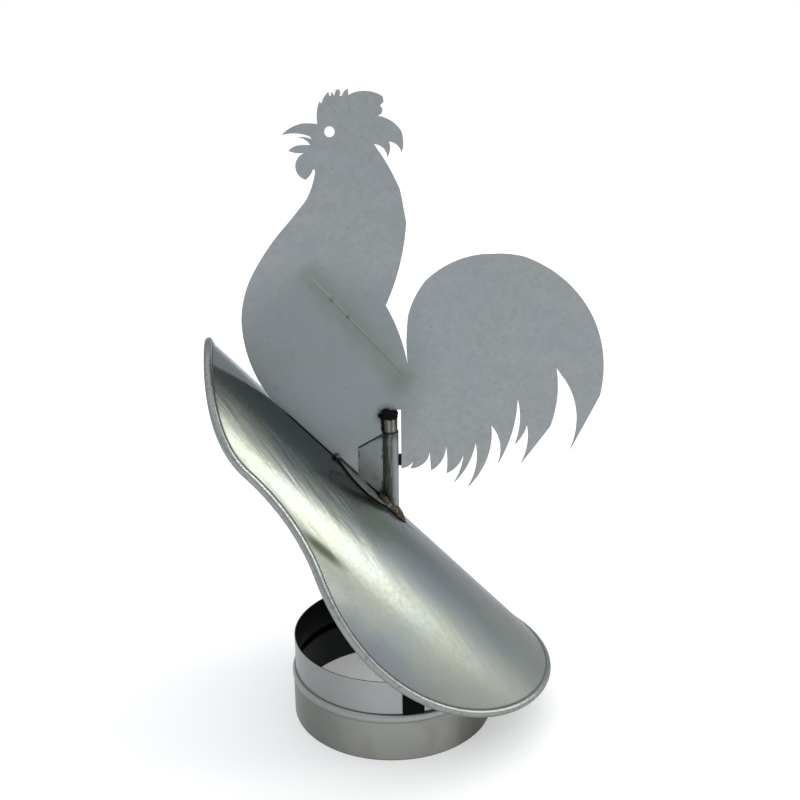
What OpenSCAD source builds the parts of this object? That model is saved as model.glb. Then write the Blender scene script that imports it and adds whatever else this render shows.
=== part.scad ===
// Turning chimney cowl. A bent hood with a rolled edge hangs on an upright rod over a flue collar,
// and a flat sheet weathercock on the hood's crest turns it out of the wind.
// Z = 0 is the collar's lower edge, the rod stands on the Z axis, and the weathercock looks along -X.

/* [Collar] */
// Outer diameter of the collar where it goes on the flue
collar_d = 150; // [140:1:160]
// Thickness of the collar's sheet
collar_t = 0.8; // [0.6:0.1:1.2]
// Height of the plain wall under the bead
spigot_h = 30; // [20:1:50]
// Height of the bead
bead_h = 6; // [4:0.5:8]
// How far the bead stands out from the wall under it
bead_out = 1.5; // [1:0.25:2.5]
// How much smaller in radius the wall over the bead is
neck_step = 1.5; // [0.5:0.25:2]
// Height of the wall over the bead
neck_h = 25; // [20:1:40]
// Width of the collar's lapped seam
seam_w = 9; // [6:1:14]

/* [Cross bar and rod] */
// Width of the flat bar across the rim
bar_w = 15; // [12:1:20]
// Thickness of the flat bar
bar_t = 2.5; // [2:0.5:4]
// How far the bar's ends reach down outside the collar
bar_drop = 24; // [18:1:28]
// Angle of the bar from the X axis, seen from above
bar_angle = 92; // [80:1:100]
// Diameter of the rivets' shanks
rivet_d = 4; // [3:0.5:5]
// Depth of the rivets below the rim
rivet_depth = 7; // [6:0.5:9]
// Diameter of the upright rod
rod_d = 8; // [6:0.5:8.5]
// Height of the rod's point
point_h = 4; // [3:0.5:6]
// Width across the flats of the nuts
nut_af = 13; // [11:0.5:16]
// Height of a nut
nut_h = 6.5; // [5:0.5:8]
// Diameter of the washers
washer_d = 16; // [15:0.5:22]
// Thickness of a washer
washer_t = 1.6; // [1:0.2:2.4]
// Length of rod that shows under the lower nut
rod_tail = 4; // [2:0.5:8]

/* [Hood] */
// Thickness of the hood's sheet
hood_t = 0.8; // [0.6:0.1:1.2]
// Radius to which the sheet is bent
hood_r = 145; // [135:1:170]
// Slope of the crest line, downwards to the tail
hood_tilt = 46.5; // [43:0.5:49]
// Height of the crest's underside over the rim, on the tail side
rim_clear = 19; // [14:0.5:30]
// Radius of the flat sheet's broad end, at the tail
tail_r = 137; // [128:1:142]
// How far the broad end's centre lies down the crest line from the rod
tail_at = 31; // [24:1:38]
// Radius of the flat sheet's narrow end, at the head
head_r = 94; // [86:1:100]
// How far the narrow end's centre lies up the crest line from the rod
head_at = 117; // [108:1:126]
// Length of the narrow end beyond its centre, as a share of its radius
head_squash = 0.6; // [0.55:0.01:1]
// Radius of the hollow curves at the sheet's waist
waist_r = 152; // [120:1:200]
// Diameter of the rolled edge
roll_d = 5.4; // [4.4:0.1:7]

/* [Weathercock] */
// Thickness of the weathercock's sheet
plate_t = 1.2; // [0.8:0.1:2]
// Diameter of the eye hole
eye_d = 6.8; // [4:0.2:9]
// Distance of the foot's front corner from the rod
foot_front = 82.5; // [76:0.5:84]
// Width of the open slit between the sleeve and the tail
slit_w = 2; // [1:0.1:3]
// Height of the notch's top over the crest point
notch_top = 74.6; // [74:0.2:78]

/* [Sleeve] */
// Outer diameter of the sleeve tube
tube_d = 10.5; // [10.5:0.1:13]
// Radial running clearance between the rod and the tube
run_gap = 0.08; // [0.04:0.01:0.1]
// Height of the tube's top over the crest point
tube_rise = 69.4; // [66:0.1:70]
// Thickness of the plug's rim on top of the tube
plug_rim = 1.2; // [0.8:0.1:2]
// Length of the plug inside the tube
plug_h = 6; // [5:0.5:9]
// Gap between the rod's point and its seat in the plug
seat_play = 0.3; // [0.2:0.05:0.5]
// Distance of the tube's lower end over the upper nut
tube_lift = 18; // [6:1:24]
// Thickness of the strip folded round the tube
wrap_t = 0.6; // [0.5:0.1:1]
// Height of the strip's top over the crest point
wrap_rise = 59.5; // [54:0.5:64]
// Distance of the leaves' front edge from the rod
leaf_reach = 23; // [16:0.5:28]
// Height of the leaves' front corner over the crest point
leaf_front_rise = 48.7; // [42:0.1:52]
// Height of the leaves' top where they leave the tube, over the crest point
leaf_back_rise = 57.3; // [52.5:0.1:58]

/* [Cleats, brace and welds] */
// Thickness of the cleats
cleat_t = 1; // [0.8:0.1:1.6]
// Width of a cleat's flange at its middle
cleat_w = 18; // [12:0.5:20]
// Distance of a cleat's upper end from the rod, along the crest
cleat_from = 56; // [48:0.5:64]
// Distance of a cleat's lower end from the rod, along the crest
cleat_to = 2; // [0:0.5:6]
// Height of a cleat's upright leg
cleat_leg = 1.5; // [1:0.5:4]
// Width of the brace on the plate's far face
brace_w = 10; // [6:0.5:11]
// Thickness of the brace
brace_t = 2; // [1.5:0.25:3]
// Length of the brace
brace_l = 93; // [70:1:96]
// Size of the weld round the sleeve's foot
foot_weld_w = 5; // [3:0.25:6]
// Size of the other weld beads
weld = 3; // [2:0.25:3.5]

/* [Hidden] */
$fn = 72;

// Gaps: a seated piece, a bolted or riveted fit, and a weld against what it joins
seat_gap = 0.3;
fit_gap = 0.1;
weld_gap = 0.05;
// Spare length of a cutting tool past what it cuts
over = 1;

// Collar
collar_r = collar_d / 2;
neck_r = collar_r - neck_step;
rim_z = spigot_h + bead_h + neck_h;
seam_angle = 60;
bead_steps = 12;

// Bar, nuts and rod, stacked at the rim
bar_top = rim_z + bar_t;
bar_bend_r = bar_t + 1;
tab_inside = neck_r + fit_gap;
tab_outside = tab_inside + bar_t;
rivet_z = rim_z - rivet_depth;
rivet_head_d = 2 * rivet_d;
rivet_head_h = 0.6 * rivet_d;
rod_r = rod_d / 2;
nut_top = bar_top + washer_t + nut_h;
nut_bottom = rim_z - washer_t - nut_h;
rod_bottom = nut_bottom - rod_tail;
point_r = 0.5;

// Crest: the frame in which everything on the hood is placed
slope = tan(hood_tilt);
crest_z = rim_z + neck_r * slope + hood_t / 2 / cos(hood_tilt) + rim_clear;
hood_top = hood_t / 2;
seat_h = hood_top + seat_gap;

// Sleeve
tube_r = tube_d / 2;
bore_r = rod_r + run_gap;
tube_top = crest_z + tube_rise;
tube_bottom = nut_top + tube_lift;
plug_r = bore_r - weld_gap;
seat_depth = 3;
seat_r = 3.2;
seat_top_r = 0.8;
seat_z = tube_top - plug_h + seat_depth;
rod_top = seat_z - seat_play;
wrap_in = tube_r + weld_gap;
wrap_r = wrap_in + wrap_t;
leaf_in = plate_t / 2 + weld_gap;
leaf_out = leaf_in + wrap_t;
notch_front = wrap_r + seat_gap;
notch_back = wrap_r + slit_w;

// Hood sheet: stations round the outline, and places across the sheet from the hole to the edge
hole_r = tube_r + seat_gap;
tail_steps = 22;
waist_steps = 6;
head_steps = 13;
sheet_rings = [0, 0.14, 0.28, 0.43, 0.58, 0.73, 0.87];
roll_steps = 9;
roll_end = 215;
roll_r = roll_d / 2;

// Weathercock: length of an arc's straight pieces, and the eye's place over the crest point
arc_step = 4;
eye_at = [-37, 264];

// Brace: its middle over the crest point, and its slope down to the tail side
brace_at = [-18, 129];
brace_fall = 51;

// Stations along the foot weld
foot_weld_steps = 32;

// Outline of the weathercock seen from its near side, each point as its distance from the rod, its
// height over the crest point, and how far the arc to the next point bulges outwards
function foot_height(x) = -x * slope + seat_h / cos(hood_tilt);
foot_at = [-foot_front, foot_height(-foot_front), 4.5];
breast = [foot_at, [-99.5, 143, 1.5], [-92, 171, 1.5], [-66.5, 206, 0], [-54, 220.5, -1]];
wattle = [[-47, 239.5, 0], [-48.2, 241, 0.7], [-53.5, 234, 6]];
lower_beak = [[-54, 251, 0.7], [-64, 252.5, 1.2], [-53.5, 256, 0], [-49.5, 256, -1]];
tongue = [[-57.5, 261, 0.6], [-48.5, 259.5, 0], [-50, 261.5, -1.3]];
upper_beak = [[-67.5, 262.5, 1.5], [-52.5, 269.5, 0], [-44.5, 269, 1]];
comb_front = [[-43, 282.5, 0], [-41.5, 281.5, 0.7], [-37, 288.5, 0], [-36.5, 286, 0],
              [-35.5, 286, 0], [-35, 288.5, 0], [-33.3, 286, 0], [-32.2, 289.6, 0.3],
              [-29.8, 289.6, 0], [-29.5, 287.5, 0], [-30, 286, 0]];
comb_back = [[-28.5, 286, 0.6], [-24.5, 290.5, 0], [-24.5, 286.5, 2.2], [-5, 287, 2.9],
             [-4, 280, 2.3], [-5.5, 273.5, 1.9]];
ear_lobe = [[9.5, 264, 1.1], [10, 250.5, -1.6], [1.5, 257.5, 1.2], [0.5, 247.5, -2.3]];
neck = [[-8.5, 256, 1.1], [8.5, 226.5, 0], [12.5, 205, 2.7], [-2, 149.5, 2.2], [13.5, 103, 1.3]];
tail_back = [[13.5, 141.5, 1.6], [26, 165.5, 4.9], [72.5, 182, 0.8], [94.5, 179.5, 5.4],
             [143.5, 139.5, 6], [154, 76.5, 0]];
long_feather = [[133.5, 37, -6.7], [127.5, 89.5, 0], [120.5, 99, 2.9], [117.5, 55.5, 0]];
feathers = [[96.5, 28.5, -2.6], [100, 58, 1.3], [91.5, 43.5, -2.8], [92.5, 78, 3.4],
            [79, 29.5, -4.1], [73.5, 58.5, 5.8], [57, 13, -3.4], [62, 46.5, 2.8],
            [46.5, 17, -1.6], [53.5, 39.5, 2.6], [41, 24.5, -0.9], [40, 48, 3.8],
            [29.5, 27.5, 0], [28.5, 41.5, 3.5], [14.5, 30, 0], [18.5, 38, 1.7]];
tail_corner_h = 30.5;
notch = [[notch_back, tail_corner_h, 0], [notch_back, notch_top, 0], [-notch_front, notch_top, 0],
         [-notch_front, foot_height(-notch_front), 0]];
weathercock = concat(breast, wattle, lower_beak, tongue, upper_beak, comb_front, comb_back,
                     ear_lobe, neck, tail_back, long_feather, feathers, notch);

// Points from p up to but not with q, on an arc that bulges to the left by b
function arc_points(p, q, b) =
    b == 0 ? [p] :
    let (chord = norm(q - p),
         along = (q - p) / chord,
         left = [-along.y, along.x],
         r = (chord * chord / 4 + b * b) / (2 * b),
         centre = (p + q) / 2 + left * (b - r),
         sweep = 4 * atan(2 * b / chord),
         steps = max(2, ceil(abs(r * sweep) * PI / 180 / arc_step)))
    [for (i = [0 : steps - 1])
        let (a = -sweep * i / steps, v = p - centre)
        centre + [v.x * cos(a) - v.y * sin(a), v.x * sin(a) + v.y * cos(a)]];

// Closed outline from points with bulges
function outline(points) =
    [for (i = [0 : len(points) - 1])
        let (p = points[i], q = points[(i + 1) % len(points)])
        each arc_points([p.x, p.y], [q.x, q.y], p.z)];

// Points on an arc, both ends with it when last is 1 and without its last point when last is 0
function turn(centre, r, from, to, steps, last) =
    [for (i = [0 : steps - 1 + last])
        let (a = from + (to - from) * i / steps)
        centre + [r * cos(a), r * sin(a)]];

// Half outline of the flat hood sheet on the near side, from the tail's end up to the head's end:
// two round ends joined by a hollow arc that touches both
function half_sheet() =
    let (span = tail_at + head_at,
         to_tail = tail_r + waist_r,
         to_head = head_r + waist_r,
         back = (span * span + to_tail * to_tail - to_head * to_head) / (2 * span),
         side = sqrt(to_tail * to_tail - back * back),
         hollow = [tail_at - back, side],
         a_tail = atan2(side, -back),
         a_head = atan2(side, span - back),
         head_end = turn([0, 0], head_r, a_head, 180, head_steps, 1))
    concat(turn([tail_at, 0], tail_r, 0, a_tail, tail_steps, 0),
           turn(hollow, waist_r, a_tail - 180, a_head - 180, waist_steps, 0),
           [for (p = head_end) [-head_at + (p.x < 0 ? head_squash : 1) * p.x, max(p.y, 0)]]);

// Whole outline of the flat sheet, once round
function whole_sheet() =
    let (half = half_sheet(), last = len(half) - 1)
    concat(half, [for (i = [last - 1 : -1 : 1]) [half[i].x, -half[i].y]]);

// A point of the flat sheet, h over its middle, when the sheet is bent to its radius
function bent(flat, h) =
    let (a = flat.y / hood_r * 180 / PI)
    [flat.x, -(hood_r + h) * sin(a), (hood_r + h) * cos(a) - hood_r];

// Cross-section of the rolled edge, as [outwards, over the sheet's middle], curled upwards
function roll_section(r, from, to) =
    [for (i = [0 : roll_steps])
        let (a = from + (to - from) * i / roll_steps)
        [r * cos(a), roll_r - hood_top + r * sin(a)]];

// One station of the hood: up the top side from the hole, round the roll and back underneath
function hood_station(edge, out) =
    let (toward = edge / norm(edge),
         hole = [hole_r / cos(hood_tilt) * toward.x, hole_r * toward.y],
         curl = concat(roll_section(roll_r - hood_t, -90, roll_end),
                       roll_section(roll_r, roll_end, -90)))
    concat([for (f = sheet_rings)
               bent(hole * (1 - f) + edge * f - [hood_top * slope * (1 - f), 0], hood_top)],
           [for (c = curl) bent(edge + out * c.x, c.y)],
           [for (i = [len(sheet_rings) - 1 : -1 : 0])
               let (f = sheet_rings[i])
               bent(hole * (1 - f) + edge * f + [hood_top * slope * (1 - f), 0], -hood_top)]);

// Solid through a row of rings with equal numbers of points, closed into a loop or with flat ends
module skin(rings, loop) {
    n = len(rings);
    m = len(rings[0]);
    spans = loop ? n - 1 : n - 2;
    sides = [for (i = [0 : spans], j = [0 : m - 1])
        let (k = (i + 1) % n, l = (j + 1) % m)
        each [[i * m + j, k * m + j, k * m + l], [i * m + j, k * m + l, i * m + l]]];
    ends = loop ? [] : [[for (j = [0 : m - 1]) j], [for (j = [m - 1 : -1 : 0]) (n - 1) * m + j]];
    polyhedron([for (r = rings) each r], concat(sides, ends));
}

// Places its children on the crest: X down the crest line, Z straight out of the sheet
module on_crest() {
    translate([0, 0, crest_z]) rotate([0, hood_tilt, 0]) children();
}

// Everything over the hood's top side, from h up
module above_hood(h) {
    reach = 400;
    on_crest() translate([-reach / 2, -reach / 2, h]) cube([reach, reach, reach]);
}

// Turns a flat outline upright, with its Y as height over the crest point and t thick about Y = 0
module upright(t) {
    translate([0, 0, crest_z]) rotate([90, 0, 0]) linear_extrude(t, center = true) children();
}

// Round bar with round ends, from one point along an axis
module bead(length, r) {
    cylinder(r = r, h = length);
    sphere(r = r);
    translate([0, 0, length]) sphere(r = r);
}

// Section of the collar's sheet, its outside moved outwards by d
function collar_side(d) = concat(
    [[collar_r + d, 0]],
    [for (i = [0 : bead_steps])
        let (a = -90 + 180 * i / bead_steps)
        [collar_r - neck_step * i / bead_steps + bead_out * cos(a) + d,
         spigot_h + bead_h / 2 + bead_h / 2 * sin(a)]],
    [[neck_r + d, rim_z]]);

module collar_section(inner, outer) {
    inside = collar_side(inner);
    polygon(concat(collar_side(outer),
                   [for (i = [len(inside) - 1 : -1 : 0]) inside[i]]));
}

module collar() {
    seam_sweep = seam_w / collar_r * 180 / PI;
    color([0.52, 0.54, 0.52])
    difference() {
        union() {
            rotate_extrude() collar_section(-collar_t, 0);
            rotate([0, 0, seam_angle])
                rotate_extrude(angle = seam_sweep) collar_section(-2 * collar_t, -collar_t / 2);
        }
        rivet_places() cylinder(d = rivet_d + 2 * fit_gap, h = 6 * collar_t, center = true);
    }
}

// At each end of the bar, the middle of the collar's wall at rivet height, with Z outwards
module rivet_places() {
    for (end = [0, 180])
        rotate([0, 0, bar_angle + end])
            translate([neck_r, 0, rivet_z]) rotate([0, 90, 0]) children();
}

module cross_bar() {
    bend_bulge = bar_bend_r * (1 - cos(45));
    inner_r = bar_bend_r - bar_t;
    inner_bulge = inner_r * (1 - cos(45));
    tab_end = rim_z - bar_drop;
    profile = [[-tab_outside, tab_end, 0], [-tab_outside, bar_top - bar_bend_r, bend_bulge],
               [-tab_outside + bar_bend_r, bar_top, 0], [tab_outside - bar_bend_r, bar_top, bend_bulge],
               [tab_outside, bar_top - bar_bend_r, 0], [tab_outside, tab_end, 0],
               [tab_inside, tab_end, 0], [tab_inside, rim_z, 0],
               [-tab_inside, rim_z, 0], [-tab_inside, tab_end, 0]];
    color([0.08, 0.08, 0.08])
    difference() {
        rotate([0, 0, bar_angle]) rotate([90, 0, 0])
            linear_extrude(bar_w, center = true) polygon(outline(profile));
        translate([0, 0, rim_z - over]) cylinder(r = rod_r + fit_gap, h = bar_t + 2 * over);
        rivet_places() cylinder(d = rivet_d + 2 * fit_gap, h = bar_t + 2 * over);
    }
}

module bar_rivets() {
    shank_from = -collar_t - 2 * fit_gap;
    shank_to = fit_gap + bar_t;
    color([0.45, 0.45, 0.43])
    rivet_places() {
        translate([0, 0, shank_from]) cylinder(d = rivet_d, h = shank_to - shank_from);
        translate([0, 0, shank_to]) rivet_head();
        translate([0, 0, shank_from]) mirror([0, 0, 1]) rivet_head();
    }
}

module rivet_head() {
    cylinder(d1 = rivet_head_d, d2 = rivet_d, h = rivet_head_h);
}

module pivot_rod() {
    color([0.5, 0.5, 0.48]) {
        translate([0, 0, rod_bottom]) cylinder(r = rod_r, h = rod_top - point_h - rod_bottom);
        translate([0, 0, rod_top - point_h]) cylinder(r1 = rod_r, r2 = point_r, h = point_h);
    }
}

module rod_nuts() {
    color([0.5, 0.5, 0.48])
    for (z = [nut_bottom, bar_top + washer_t])
        translate([0, 0, z])
        difference() {
            cylinder(d = nut_af / cos(30), h = nut_h, $fn = 6);
            translate([0, 0, -over]) cylinder(r = rod_r + weld_gap, h = nut_h + 2 * over);
        }
}

module rod_washers() {
    color([0.55, 0.55, 0.53])
    for (z = [rim_z - washer_t, bar_top])
        translate([0, 0, z])
        difference() {
            cylinder(d = washer_d, h = washer_t);
            translate([0, 0, -over]) cylinder(r = rod_r + fit_gap, h = washer_t + 2 * over);
        }
}

module hood() {
    sheet = whole_sheet();
    n = len(sheet);
    stations = [for (i = [0 : n - 1])
        let (along = sheet[(i + 1) % n] - sheet[(i + n - 1) % n])
        hood_station(sheet[i], [along.y, -along.x] / norm(along))];
    color([0.62, 0.65, 0.63])
    on_crest() skin(stations, true);
}

module rooster_plate() {
    color([0.5, 0.53, 0.55])
    upright(plate_t)
    difference() {
        polygon(outline(weathercock));
        translate(eye_at) circle(d = eye_d);
    }
}

module sleeve_tube() {
    color([0.4, 0.42, 0.38])
    translate([0, 0, tube_bottom])
    difference() {
        cylinder(r = tube_r, h = tube_top - tube_bottom);
        translate([0, 0, -over]) cylinder(r = bore_r, h = tube_top - tube_bottom + 2 * over);
    }
}

module sleeve_plug() {
    plug_bottom = tube_top - plug_h;
    color([0.25, 0.25, 0.23])
    difference() {
        union() {
            translate([0, 0, plug_bottom]) cylinder(r = plug_r, h = plug_h);
            translate([0, 0, tube_top]) cylinder(r = tube_r, h = plug_rim);
        }
        translate([0, 0, plug_bottom]) cylinder(r1 = seat_r, r2 = seat_top_r, h = seat_depth);
    }
}

// The strip seen from above: round the tube on the tail side, with a leaf on each face of the plate
module wrap_plan() {
    difference() {
        union() {
            circle(r = wrap_r);
            translate([-leaf_reach, -leaf_out]) square([leaf_reach, 2 * leaf_out]);
        }
        circle(r = wrap_in);
        translate([-leaf_reach - over, -leaf_in]) square([leaf_reach, 2 * leaf_in]);
    }
}

module sleeve_wrap() {
    side = [[-leaf_reach, 0], [-leaf_reach, leaf_front_rise], [-wrap_r, leaf_back_rise],
            [-wrap_r, wrap_rise], [wrap_r + over, wrap_rise], [wrap_r + over, -leaf_reach],
            [-leaf_reach, -leaf_reach]];
    color([0.47, 0.5, 0.48])
    intersection() {
        translate([0, 0, tube_bottom]) linear_extrude(wrap_rise + crest_z - tube_bottom) wrap_plan();
        upright(2 * wrap_r + 2 * over) polygon(side);
        above_hood(seat_h);
    }
}

// Half lens from the plate outwards, with Y away from the plate
module cleat_flange() {
    chord = cleat_from - cleat_to;
    r = (chord * chord / 4 + cleat_w * cleat_w) / (2 * cleat_w);
    intersection() {
        translate([-(cleat_from + cleat_to) / 2, cleat_w - r]) circle(r = r);
        translate([-cleat_from, plate_t / 2 + weld_gap]) square([chord, cleat_w]);
    }
}

// Angle strip on the hood's top side: side is -1 on the near face of the plate and 1 on the far one
module foot_cleat(side) {
    bed_r = hood_r + seat_h;
    leaf_foot = (leaf_reach + fit_gap) / cos(hood_tilt);
    leg_h = cleat_t + cleat_leg;
    leaf_front = leaf_foot + (seat_h + weld_gap + leg_h) * slope;
    color([0.5, 0.52, 0.5])
    on_crest() scale_side(side)
    difference() {
        union() {
            intersection() {
                linear_extrude(leg_h + seat_h) cleat_flange();
                translate([0, 0, -hood_r]) rotate([0, -90, 0])
                    difference() {
                        cylinder(r = bed_r + cleat_t, h = cleat_from + over, $fn = 180);
                        translate([0, 0, -over])
                            cylinder(r = bed_r, h = cleat_from + 3 * over, $fn = 180);
                    }
            }
            translate([-cleat_from + cleat_t, plate_t / 2 + weld_gap, seat_h + weld_gap])
                cube([cleat_from - cleat_t - leaf_front, cleat_t, leg_h]);
        }
        translate([-leaf_front, 0, 0]) cube([leaf_front, leaf_out + fit_gap, 2 * leg_h]);
        translate([0, 0, -crest_z * cos(hood_tilt)]) clear_of_sleeve();
    }
}

// Mirrors its children to the near side when side is -1
module scale_side(side) {
    if (side < 0) mirror([0, 1, 0]) children();
    else children();
}

// Room for the sleeve and its weld, in the crest's frame
module clear_of_sleeve() {
    translate([0, 0, crest_z * cos(hood_tilt)]) rotate([0, -hood_tilt, 0])
        cylinder(r = wrap_r + 1.2 * foot_weld_w, h = 4 * cleat_w, center = true);
}

module foot_cleat_near() { foot_cleat(-1); }

module foot_cleat_far() { foot_cleat(1); }

// Places its children on the plate's far face, with X along the brace and Z away from the plate
module on_brace() {
    translate([brace_at.x, plate_t / 2, crest_z + brace_at.y]) rotate([0, brace_fall, 0])
        rotate([-90, 0, 0]) children();
}

module back_brace() {
    color([0.42, 0.44, 0.45])
    on_brace() translate([-brace_l / 2, -brace_w / 2, weld_gap]) cube([brace_l, brace_w, brace_t]);
}

// Fillet weld: a wedge with its right angle in the corner, along X
module fillet(length, size) {
    bulge = size / 6;
    rotate([90, 0, 90]) linear_extrude(length, center = true)
        polygon(outline([[0, 0, 0], [size, 0, -bulge], [0, size, 0]]));
}

module brace_welds() {
    color([0.3, 0.29, 0.27])
    on_brace()
    for (x = [-1, 0, 1], side = [0, 1])
        translate([x * 0.4 * brace_l, 0, 0]) mirror([0, side, 0])
            translate([0, brace_w / 2 + weld_gap, weld_gap]) fillet(3 * weld, 0.7 * weld);
}

// Weld fillet from one leaf round the tail side to the other, on the hood and against the strip
module foot_weld() {
    leaf_angle = asin((leaf_out + weld_gap) / wrap_r) + 6;
    inner = wrap_r + weld_gap;
    rings = [for (i = [0 : foot_weld_steps])
        let (a = -180 + leaf_angle + (360 - 2 * leaf_angle) * i / foot_weld_steps,
             size = foot_weld_w * (1 + 0.12 * sin(1100 * i / foot_weld_steps)),
             toe = inner + size)
        [on_slope(inner, a, weld_gap), on_slope(toe, a, weld_gap),
         on_slope(inner + 0.62 * size, a, 0.62 * size), on_slope(inner, a, size)]];
    color([0.35, 0.3, 0.25])
    skin(rings, false);
}

// Point at radius r and angle a round the rod, h straight over the hood's top side
function on_slope(r, a, h) =
    let (y = r * sin(a))
    [r * cos(a), y, crest_z - r * cos(a) * slope + (hood_top + h) / cos(hood_tilt)
        - y * y / (2 * hood_r) / cos(hood_tilt)];

module notch_weld() {
    low = tube_rise + plug_rim + weld_gap;
    r = (notch_top - weld_gap - low) / 2;
    length = notch_front + notch_back - 2 * r - 2 * weld;
    color([0.05, 0.05, 0.05])
    translate([-length / 2 + (notch_back - notch_front) / 2, 0, crest_z + low + r])
        rotate([0, 90, 0]) bead(length, r);
}

module tail_tack() {
    r = slit_w / 2 - weld_gap;
    color([0.05, 0.05, 0.05])
    translate([wrap_r + slit_w / 2, 0, crest_z + tail_corner_h + weld]) bead(2.5 * weld, r);
}

module cleat_tacks() {
    r = 0.6 * weld;
    color([0.3, 0.29, 0.27])
    for (side = [-1, 1])
        on_crest() translate([-cleat_from - r, side * (plate_t / 2 + weld_gap + r), hood_top + r + weld_gap])
            sphere(r = r);
}

collar();
cross_bar();
bar_rivets();
pivot_rod();
rod_nuts();
rod_washers();
hood();
rooster_plate();
sleeve_tube();
sleeve_plug();
sleeve_wrap();
foot_cleat_near();
foot_cleat_far();
back_brace();
foot_weld();
notch_weld();
tail_tack();
cleat_tacks();
brace_welds();
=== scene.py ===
# Turning chimney cowl: galvanised hood and weathercock on an upright rod over a flue collar.
# Metres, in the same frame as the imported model: Z = 0 is the collar's lower edge, the rod stands on
# the Z axis, the weathercock looks along -X, and the near side faces -Y.
import math

import bmesh
import bpy
from mathutils import Matrix, Vector, noise


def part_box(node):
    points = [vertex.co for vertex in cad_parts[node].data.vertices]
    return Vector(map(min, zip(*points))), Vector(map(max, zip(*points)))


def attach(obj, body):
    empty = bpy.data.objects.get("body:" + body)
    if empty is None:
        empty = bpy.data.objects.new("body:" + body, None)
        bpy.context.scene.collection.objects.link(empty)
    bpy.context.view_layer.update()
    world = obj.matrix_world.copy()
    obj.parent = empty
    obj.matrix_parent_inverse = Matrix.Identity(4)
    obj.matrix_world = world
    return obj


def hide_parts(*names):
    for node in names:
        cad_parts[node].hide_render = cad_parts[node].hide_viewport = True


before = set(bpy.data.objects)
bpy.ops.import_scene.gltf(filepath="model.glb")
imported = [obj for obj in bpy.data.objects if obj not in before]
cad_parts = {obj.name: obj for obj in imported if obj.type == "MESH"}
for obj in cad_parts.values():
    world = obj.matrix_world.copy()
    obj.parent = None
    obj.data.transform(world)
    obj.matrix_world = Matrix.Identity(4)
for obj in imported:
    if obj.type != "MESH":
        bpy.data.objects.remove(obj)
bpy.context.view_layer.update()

MM = 0.001

# Collar
COLLAR_R = 75 * MM
COLLAR_T = 0.8 * MM
SPIGOT_H = 30 * MM
BEAD_H = 6 * MM
BEAD_OUT = 1.5 * MM
NECK_R = 73.5 * MM
RIM_Z = 61 * MM
SEAM_ANGLE = math.radians(60)
SEAM_SWEEP = 9 * MM / COLLAR_R

# Bar and rod
BAR_ANGLE = math.radians(92)
BAR_T = 2.5 * MM
RIVET_R = 4 * MM
RIVET_H = 2.32 * MM
SHANK_R = 2 * MM
RIVET_Z = 54 * MM
ROD_R = 4 * MM
NUT_TOP = 71.6 * MM
THREAD_PITCH = 1.25 * MM
THREAD_DEPTH = 0.55 * MM

# Crest frame: the line down the middle of the hood
TUBE_RISE = 69.4 * MM
TILT = math.radians(46.5)
CREST_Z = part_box("sleeve_tube")[1].z - TUBE_RISE
TO_CREST = Matrix.Translation((0, 0, CREST_Z)) @ Matrix.Rotation(TILT, 4, "Y")

# Hood sheet. Its roll lies about 3 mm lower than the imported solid's, as the photo shows it, and
# its outline is fitted to that roll.
HOOD_T = 0.8 * MM
HOOD_R = 145 * MM
TAIL_R = 136.5 * MM
TAIL_AT = 31.5 * MM
TAIL_STRETCH = 1.02
HEAD_R = 91 * MM
HEAD_AT = 117.5 * MM
HEAD_SQUASH = 0.65
WAIST_R = 141 * MM
ROLL_R = 2.7 * MM
ROLL_UNDER = 1 * MM
ROLL_END = -188
HOLE_R = 5.55 * MM

# Sleeve and weathercock
TUBE_R = 5.25 * MM
BORE_R = 4.08 * MM
WRAP_R = 5.9 * MM
WRAP_TOP = CREST_Z + 59.5 * MM
SLEEVE_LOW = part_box("sleeve_tube")[0].z
SLEEVE_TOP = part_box("sleeve_tube")[1].z
LEAF_REACH = 23 * MM
LEAF_FRONT_TOP = CREST_Z + 48.7 * MM
LEAF_BACK_TOP = CREST_Z + 57.3 * MM
NOTCH_TOP = CREST_Z + 74.6 * MM
PLATE_T = 1.2 * MM

# Burnt weld: the lump over the pipe's end, and its thin run down the head side
CAP_LOW = (-5.8 * MM, -3.8 * MM, SLEEVE_TOP - 0.2 * MM)
CAP_HIGH = (5.3 * MM, 3.6 * MM, NOTCH_TOP - 0.1 * MM)
RUN_LOW = (-6.3 * MM, -1.8 * MM, WRAP_TOP)
RUN_HIGH = (-5.0 * MM, 1.2 * MM, NOTCH_TOP - 3 * MM)

# Camera, fitted to the photo
CAMERA_AT = (-0.10042, -0.66284, 0.44225)
CAMERA_RIGHT = (0.9866, -0.1630, -0.0089)
CAMERA_FORWARD = (0.1535, 0.9450, -0.2889)


# Finishes

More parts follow.
